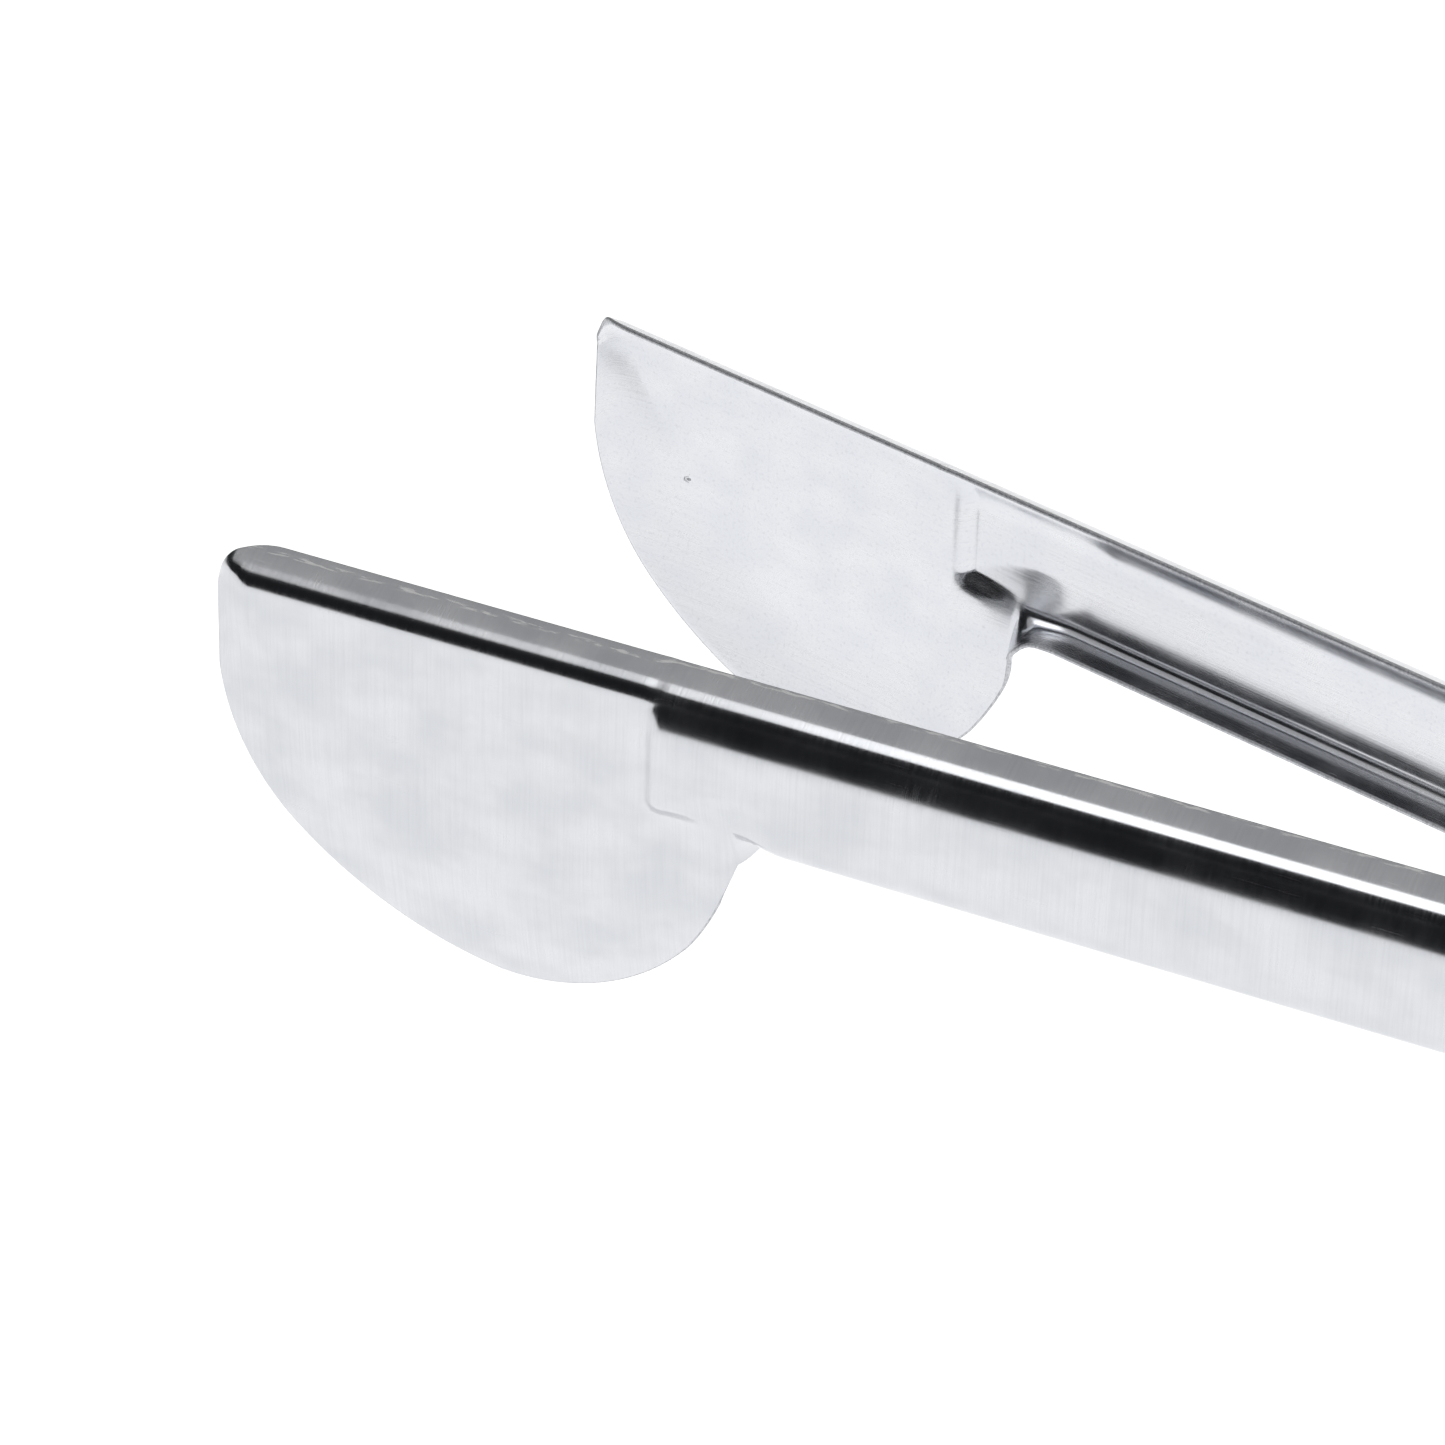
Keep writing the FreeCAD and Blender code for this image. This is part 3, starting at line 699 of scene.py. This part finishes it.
# ---------------------------------------------------------------- torsion spring
WIRE = 0.7 * MM                                # the wire's radius
COIL = 4.4 * MM                                # the coil's radius, to the middle of the wire
COIL_PITCH = 1.6 * MM
COIL_TURNS = 5
COIL_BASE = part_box("torsion_spring")[0].z + WIRE
SPRING_LEG = 32.0 * MM
LEG_REST = BLADE_PLANE + PANEL_RAISE - SHEET - WIRE
LEG_WRAP = math.radians(30)                    # each leg runs on round the coil by this much
COIL_STEPS = 260
WRAP_STEPS = 14


def wire_piece(name, points):
    """A round wire along these points."""
    curve = bpy.data.curves.new(name, "CURVE")
    curve.dimensions = "3D"
    curve.bevel_depth = WIRE
    curve.bevel_resolution = 6
    curve.use_fill_caps = True
    spline = curve.splines.new("POLY")
    spline.points.add(len(points) - 1)
    for point, place in zip(spline.points, points):
        point.co = (place[0], place[1], place[2], 1.0)
    wire = mesh_from_curve(name, curve, Vector((0.0, 0.0, 0.0)))
    for polygon in wire.data.polygons:
        polygon.use_smooth = True
    return wire


def make_spring():
    """A coil that stays with the rivet and two legs that stay with the arms."""
    rest_y = LEG_REST * math.cos(OPEN_ANGLE) + SPRING_LEG * math.sin(OPEN_ANGLE)
    distance = math.hypot(SPRING_LEG, rest_y)
    lean = math.atan2(rest_y, SPRING_LEG) - math.asin(COIL / distance)
    leg_length = math.sqrt(distance ** 2 - COIL ** 2)
    first = lean - math.pi / 2
    sweep = 2 * math.pi * COIL_TURNS - math.pi - 2 * lean
    climb = COIL_PITCH / (2 * math.pi)

    def on_coil(turned):
        angle = first + turned
        return Vector((PIVOT.x + COIL * math.cos(angle), PIVOT.y + COIL * math.sin(angle),
                       COIL_BASE + climb * turned))

    def arc(start, end, steps):
        return [on_coil(start + (end - start) * step / steps) for step in range(steps + 1)]

    coil = wire_piece("spring_coil", arc(0.0, sweep, COIL_STEPS))
    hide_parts("torsion_spring")
    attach(coil, "pivot")
    wires = [coil]
    for name, side, root, body in (("spring_leg_front", -1, 0.0, "front"),
                                   ("spring_leg_rear", 1, sweep, "rear")):
        along = Vector((-math.cos(lean), side * math.sin(lean), 0.0))
        inner = root + LEG_WRAP * -side
        wrap = arc(inner, root, WRAP_STEPS)
        tip = wrap[-1] + along * leg_length
        leg = wire_piece(name, wrap + [tip])
        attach(leg, body)
        wires.append(leg)
    return wires


# ---------------------------------------------------------------- material tools
def colour(hex_code):
    """A linear RGBA colour from an sRGB hex code."""
    channels = [int(hex_code[i:i + 2], 16) / 255 for i in (1, 3, 5)]
    linear = [c / 12.92 if c <= 0.04045 else ((c + 0.055) / 1.055) ** 2.4 for c in channels]
    return (*linear, 1.0)


def add_node(tree, kind, inputs=None, **settings):
    """A node with its settings, its fixed inputs and its links."""
    node = tree.nodes.new("ShaderNode" + kind)
    for name, value in settings.items():
        setattr(node, name, value)
    for key, value in (inputs or {}).items():
        if isinstance(value, bpy.types.NodeSocket):
            tree.links.new(value, node.inputs[key])
        else:
            node.inputs[key].default_value = value
    return node


def pattern(tree, places, cell, detail=2.0, roughness=0.5):
    """Noise from 0 to 1 whose patches are about this big, a length for each axis."""
    scale = [1 / length for length in cell]
    spread = add_node(tree, "Mapping", {"Vector": places, "Scale": scale})
    noise = add_node(tree, "TexNoise", {"Vector": spread.outputs[0], "Scale": 1.0,
                                        "Detail": detail, "Roughness": roughness})
    return noise.outputs["Fac"]


def span(tree, value, low, high, to_low=0.0, to_high=1.0):
    """Map low..high to to_low..to_high, softly and without going past them."""
    mapped = add_node(tree, "MapRange", {"Value": value, "From Min": low, "From Max": high,
                                         "To Min": to_low, "To Max": to_high},
                      interpolation_type="SMOOTHSTEP")
    return mapped.outputs[0]


def calculate(tree, operation, first, second=0.0):
    """One step of arithmetic on numbers or sockets."""
    return add_node(tree, "Math", {0: first, 1: second}, operation=operation).outputs[0]


def blend_colours(tree, share, first, second):
    """The first colour where share is 0, the second where it is 1."""
    mixed = add_node(tree, "Mix", {0: share, 6: first, 7: second}, data_type="RGBA")
    return mixed.outputs[2]


def near(tree, value, centre, half_width):
    """1 where the value is at the centre, falling to 0 half_width away."""
    distance = calculate(tree, "ABSOLUTE", calculate(tree, "SUBTRACT", value, centre))
    return span(tree, distance, half_width, half_width * 0.3)


def new_material(name):
    """An empty node material and its tree."""
    material = bpy.data.materials.new(name)
    material.use_nodes = True
    tree = material.node_tree
    tree.nodes.clear()
    return material, tree


def metal(tree, base, roughness, height, depth, anisotropy=0.0, metallic=1.0):
    """The shader every steel surface ends in; height is raised by depth metres."""
    bump = add_node(tree, "Bump", {"Height": height, "Distance": depth, "Strength": 1.0})
    inputs = {"Base Color": base, "Roughness": roughness, "Metallic": metallic,
              "Normal": bump.outputs[0]}
    shader = add_node(tree, "BsdfPrincipled", inputs)
    if anisotropy:                             # stretches highlights across the brushed grain
        shader.inputs["Anisotropic"].default_value = anisotropy
        tangent = add_node(tree, "Tangent", direction_type="UV_MAP", uv_map="sheet")
        tree.links.new(tangent.outputs[0], shader.inputs["Tangent"])
    output = add_node(tree, "OutputMaterial")
    tree.links.new(shader.outputs[0], output.inputs[0])


# ---------------------------------------------------------------- arm materials
FLANGE_EDGE = -(TOP_BEND * FLANGE_FOLD + FLANGE)   # the top free edge's place on the sheet
SCUFF_LINE = FLANGE_EDGE + 1.1 * MM                # handling scuffs the flange here
WORN_LINE = -0.5 * TOP_BEND * FLANGE_FOLD          # the middle of the top bend


def brushed_outside():
    """AISI 430 sheet, belt brushed across the arm before pressing: a soft satin sheen that
    streaks lengthways, fine grain you can just see, paler scuffs where tools rubbed."""
    material, tree = new_material("brushed_outside")
    places = add_node(tree, "UVMap", uv_map="sheet").outputs[0]
    across = add_node(tree, "SeparateXYZ", {0: places}).outputs[1]
    # Belt grain is about 0.05 mm wide; drawn 0.3 mm wide so it stays visible.
    grain = pattern(tree, places, (0.3 * MM, 14 * MM, MM), detail=4.0, roughness=0.6)
    fine = pattern(tree, places, (0.12 * MM, 2.2 * MM, MM), detail=2.0)
    cloud = pattern(tree, places, (11 * MM, 7 * MM, MM), detail=3.0)
    scratch_lines = pattern(tree, places, (16 * MM, 0.22 * MM, MM), detail=2.0)
    scratches = span(tree, scratch_lines, 0.68, 0.80)
    scuff_line = near(tree, across, SCUFF_LINE, 0.45 * MM)
    broken = span(tree, pattern(tree, places, (2.6 * MM, 0.35 * MM, MM), detail=4.0), 0.46, 0.62)
    scuffs = calculate(tree, "MULTIPLY", scuff_line, broken)
    worn_bend = near(tree, across, WORN_LINE, 0.9 * MM)
    wear = calculate(tree, "MULTIPLY", worn_bend, span(tree, cloud, 0.35, 0.7))
    tone = blend_colours(tree, span(tree, cloud, 0.3, 0.7), colour("#c6c8cc"), colour("#d2d3d6"))
    tone = blend_colours(tree, span(tree, grain, 0.35, 0.75, 0.0, 0.14), tone, colour("#a9abb0"))
    tone = blend_colours(tree, scuffs, tone, colour("#f4f4f4"))
    rough = span(tree, cloud, 0.3, 0.7, 0.17, 0.23)
    rough = calculate(tree, "ADD", rough, span(tree, fine, 0.3, 0.7, -0.03, 0.05))
    rough = calculate(tree, "SUBTRACT", rough, calculate(tree, "MULTIPLY", wear, 0.07))
    rough = calculate(tree, "ADD", rough, calculate(tree, "MULTIPLY", scratches, 0.12))
    height = calculate(tree, "ADD", grain, calculate(tree, "MULTIPLY", scratches, -0.5))
    height = calculate(tree, "ADD", height, calculate(tree, "MULTIPLY", cloud, 2.0))
    metallic = calculate(tree, "SUBTRACT", 1.0, calculate(tree, "MULTIPLY", scuffs, 0.55))
    metal(tree, tone, rough, height, 0.006 * MM, anisotropy=0.55, metallic=metallic)
    return material


def rolled_inside():
    """The same sheet's unbrushed back, bright rolled: smoother and a little bluer, with faint
    rolling lines along the arm and pressing marks."""
    material, tree = new_material("rolled_inside")
    places = add_node(tree, "UVMap", uv_map="sheet").outputs[0]
    cloud = pattern(tree, places, (9 * MM, 6 * MM, MM), detail=3.0)
    # Rolling lines are about 0.02 mm wide; drawn 0.2 mm wide so they stay visible.
    lines = pattern(tree, places, (30 * MM, 0.2 * MM, MM), detail=3.0)
    grit = pattern(tree, places, (0.5 * MM, 0.5 * MM, MM), detail=3.0)
    tone = blend_colours(tree, span(tree, cloud, 0.3, 0.7), colour("#cfd1d6"), colour("#d8d9dc"))
    tone = blend_colours(tree, span(tree, grit, 0.5, 0.8, 0.0, 0.25), tone, colour("#a5a7ac"))
    rough = span(tree, cloud, 0.3, 0.7, 0.17, 0.25)
    rough = calculate(tree, "ADD", rough, span(tree, lines, 0.3, 0.7, -0.02, 0.05))
    height = calculate(tree, "ADD", lines, calculate(tree, "MULTIPLY", cloud, 2.5))
    metal(tree, tone, rough, height, 0.004 * MM, anisotropy=0.25)
    return material


def sheared_edge():
    """The same sheet's blanked edge, tumbled: duller than the faces because the torn metal
    scatters light, with streaks through it."""
    material, tree = new_material("sheared_edge")
    places = add_node(tree, "TexCoord").outputs["Object"]
    streaks = pattern(tree, places, (0.25 * MM, 0.25 * MM, 0.8 * MM), detail=3.0)
    cloud = pattern(tree, places, (4 * MM, 4 * MM, 4 * MM))
    tone = blend_colours(tree, span(tree, streaks, 0.3, 0.7), colour("#a9abaf"), colour("#cfd0d3"))
    rough = span(tree, cloud, 0.3, 0.7, 0.42, 0.55)
    metal(tree, tone, rough, streaks, 0.02 * MM, metallic=0.75)
    return material


# ---------------------------------------------------------------- small-part materials
def turned_steel(name, dull, bright, roughest, smoothest):
    """Stainless bar turned on a lathe: rings about its axis, and corners rubbed bright."""
    material, tree = new_material(name)
    places = add_node(tree, "TexCoord").outputs["Object"]
    flat = add_node(tree, "VectorMath", {0: places, 1: (1.0, 1.0, 0.0)}, operation="MULTIPLY")
    radius = add_node(tree, "VectorMath", {0: flat.outputs[0]}, operation="LENGTH").outputs["Value"]
    height = add_node(tree, "SeparateXYZ", {0: places}).outputs[2]
    ring_places = add_node(tree, "CombineXYZ", {0: radius, 1: height}).outputs[0]
    # Lathe rings are about 0.05 mm apart; drawn 0.15 mm apart so they stay visible.
    rings = pattern(tree, ring_places, (0.15 * MM, 0.15 * MM, MM), detail=2.0)
    cloud = pattern(tree, places, (1.5 * MM, 1.5 * MM, 1.5 * MM), detail=3.0)
    corners = span(tree, add_node(tree, "NewGeometry").outputs["Pointiness"], 0.51, 0.56)
    tone = blend_colours(tree, span(tree, cloud, 0.3, 0.7), colour(dull), colour(bright))
    tone = blend_colours(tree, corners, tone, colour("#e4e4e6"))
    rough = span(tree, cloud, 0.3, 0.7, smoothest, roughest)
    rough = calculate(tree, "SUBTRACT", rough, calculate(tree, "MULTIPLY", corners, 0.1))
    metal(tree, tone, rough, rings, 0.01 * MM)
    return material


def drawn_wire():
    """Hard-drawn 302 spring wire: greyish, drawing lines along it, slightly oily sheen."""
    material, tree = new_material("drawn_wire")
    places = add_node(tree, "TexCoord").outputs["Object"]
    lines = pattern(tree, places, (6 * MM, 6 * MM, 0.12 * MM), detail=2.0)
    cloud = pattern(tree, places, (2 * MM, 2 * MM, 2 * MM), detail=3.0)
    tone = blend_colours(tree, span(tree, cloud, 0.3, 0.7), colour("#8f9093"), colour("#b3b4b7"))
    tone = blend_colours(tree, span(tree, lines, 0.5, 0.7, 0.0, 0.4), tone, colour("#6f7074"))
    rough = span(tree, cloud, 0.3, 0.7, 0.24, 0.36)
    metal(tree, tone, rough, lines, 0.01 * MM)
    return material


def satin_strip():
    """Punched 304 strip, satin belted along its length: straight streaks, rubbed bright edges."""
    material, tree = new_material("satin_strip")
    places = add_node(tree, "TexCoord").outputs["Object"]
    streaks = pattern(tree, places, (9 * MM, 0.25 * MM, 0.25 * MM), detail=3.0)
    cloud = pattern(tree, places, (5 * MM, 5 * MM, 5 * MM), detail=3.0)
    corners = span(tree, add_node(tree, "NewGeometry").outputs["Pointiness"], 0.51, 0.56)
    tone = blend_colours(tree, span(tree, cloud, 0.3, 0.7), colour("#bfc1c5"), colour("#cfd0d3"))
    tone = blend_colours(tree, span(tree, streaks, 0.4, 0.7, 0.0, 0.3), tone, colour("#9a9ca1"))
    tone = blend_colours(tree, corners, tone, colour("#e4e4e6"))
    rough = span(tree, cloud, 0.3, 0.7, 0.26, 0.36)
    metal(tree, tone, rough, streaks, 0.006 * MM)
    return material


def coat(piece, *materials):
    """Give the piece these materials, in the order of its material slots."""
    piece.data.materials.clear()
    for material in materials:
        piece.data.materials.append(material)


# ---------------------------------------------------------------- build the tongs
front_arm = make_arm("front_arm_sheet", "front_arm", "front", -1, EAR_STEP)
rear_arm = make_arm("rear_arm_sheet", "rear_arm", "rear", 1, 0.0)
arm_coats = (brushed_outside(), rolled_inside(), sheared_edge())
for arm in (front_arm, rear_arm):
    kinds = [polygon.material_index for polygon in arm.data.polygons]
    coat(arm, *arm_coats)
    arm.data.polygons.foreach_set("material_index", kinds)

rivet_coat = turned_steel("rivet_steel", "#aeb0b3", "#c9cacd", 0.36, 0.26)
bush_coat = turned_steel("bush_steel", "#9c9ea1", "#bcbdc0", 0.42, 0.32)
coat(make_rivet(), rivet_coat)
coat(make_lock_pin(), rivet_coat)
coat(make_ring("washer_ring", "rivet_washer"), rivet_coat)
coat(make_ring("bush_sleeve", "spring_bush"), bush_coat)
coat(make_slider(), satin_strip())
wire_coat = drawn_wire()
for wire in make_spring():
    coat(wire, wire_coat)


# ---------------------------------------------------------------- studio
FLOOR_DROP = 0.12                              # the tongs hang this far above the white table
FLOOR_SIZE = 4.0
FLOOR_STEPS = 8
FLOOR_CLOUD = 0.3                              # the table's faint patches are about this big


def make_floor():
    """A white acrylic light table: it glows evenly, so the steel's upright faces mirror white."""
    steps = FLOOR_STEPS
    vertices = [((x / steps - 0.5) * FLOOR_SIZE, (y / steps - 0.5) * FLOOR_SIZE, -FLOOR_DROP)
                for y in range(steps + 1) for x in range(steps + 1)]
    faces = []
    for y in range(steps):
        for x in range(steps):
            corner = y * (steps + 1) + x
            faces.append((corner, corner + 1, corner + steps + 2, corner + steps + 1))
    floor = new_piece("studio_floor", vertices, faces)
    material, tree = new_material("light_table")
    places = add_node(tree, "TexCoord").outputs["Object"]
    cloud = pattern(tree, places, (FLOOR_CLOUD, FLOOR_CLOUD, FLOOR_CLOUD))
    tone = blend_colours(tree, span(tree, cloud, 0.3, 0.7), colour("#f2f2f2"), colour("#f6f6f6"))
    shader = add_node(tree, "BsdfPrincipled", {"Base Color": tone, "Roughness": 0.6,
                                               "Emission Color": tone, "Emission Strength": 0.95})
    output = add_node(tree, "OutputMaterial")
    tree.links.new(shader.outputs[0], output.inputs[0])
    coat(floor, material)


def add_panel_light(name, centre, target, width, height, radiance):
    """A flat studio light of this even brightness."""
    light = bpy.data.lights.new(name, "AREA")
    light.shape = "RECTANGLE"
    light.size = width
    light.size_y = height
    light.energy = radiance * math.pi * width * height
    lamp = bpy.data.objects.new(name, light)
    bpy.context.scene.collection.objects.link(lamp)
    lamp.location = centre
    lamp.rotation_euler = (Vector(target) - Vector(centre)).to_track_quat("-Z", "Y").to_euler()


def make_lights():
    """A strip softbox in front, a wide, dimmer panel overhead and a dim wall, in a dark room."""
    add_panel_light("strip_softbox", (0.02, -0.5, 1.0), (0.02, -0.5, 0.0),
                    width=0.92, height=0.68, radiance=1.7)
    add_panel_light("overhead_panel", (-0.25, 0.25, 1.02), (-0.25, 0.25, 0.0),
                    width=2.0, height=2.10, radiance=0.42)
    add_panel_light("back_wall", (-0.6, 1.4, 0.55), (0.0, 0.0, 0.1),
                    width=3.0, height=1.1, radiance=0.36)
    world = bpy.data.worlds.new("dark_room")
    bpy.context.scene.world = world
    world.use_nodes = True
    background = world.node_tree.nodes["Background"]
    background.inputs["Color"].default_value = colour("#1e1f21")
    background.inputs["Strength"].default_value = 1.0


def make_camera():
    """A long lens in front and to the right, looking down the tongs towards the blades."""
    # The planes of the two blades' rims meet behind the rivet, at the apex of the wedge.
    apex = Vector((PIVOT.x + BLADE_RIM / math.sin(OPEN_ANGLE), PIVOT.y, TOP_EDGE))
    bearing = math.radians(10.27)
    distance = 0.525
    height = 0.3461
    place = apex + Vector((math.sin(bearing), -math.cos(bearing), 0.0)) * distance
    place.z += height
    yaw, pitch, roll = (math.radians(angle) for angle in (33.83, 30.97, 1.58))
    ahead = Vector((-math.sin(yaw) * math.cos(pitch), math.cos(yaw) * math.cos(pitch),
                    -math.sin(pitch)))
    right = Vector((math.cos(yaw), math.sin(yaw), 0.0))
    above = right.cross(ahead)
    tilted_right = right * math.cos(roll) + above * math.sin(roll)
    tilted_above = above * math.cos(roll) - right * math.sin(roll)
    camera = bpy.data.objects.new("camera", bpy.data.cameras.new("camera"))
    bpy.context.scene.collection.objects.link(camera)
    turn = Matrix((tilted_right, tilted_above, -ahead)).transposed()
    camera.matrix_world = Matrix.Translation(place) @ turn.to_4x4()
    camera.data.sensor_width = 36.0
    camera.data.lens = 150.55
    camera.data.clip_start = 0.01
    bpy.context.scene.camera = camera


make_floor()
make_lights()
make_camera()
bpy.context.scene.view_settings.view_transform = "Standard"
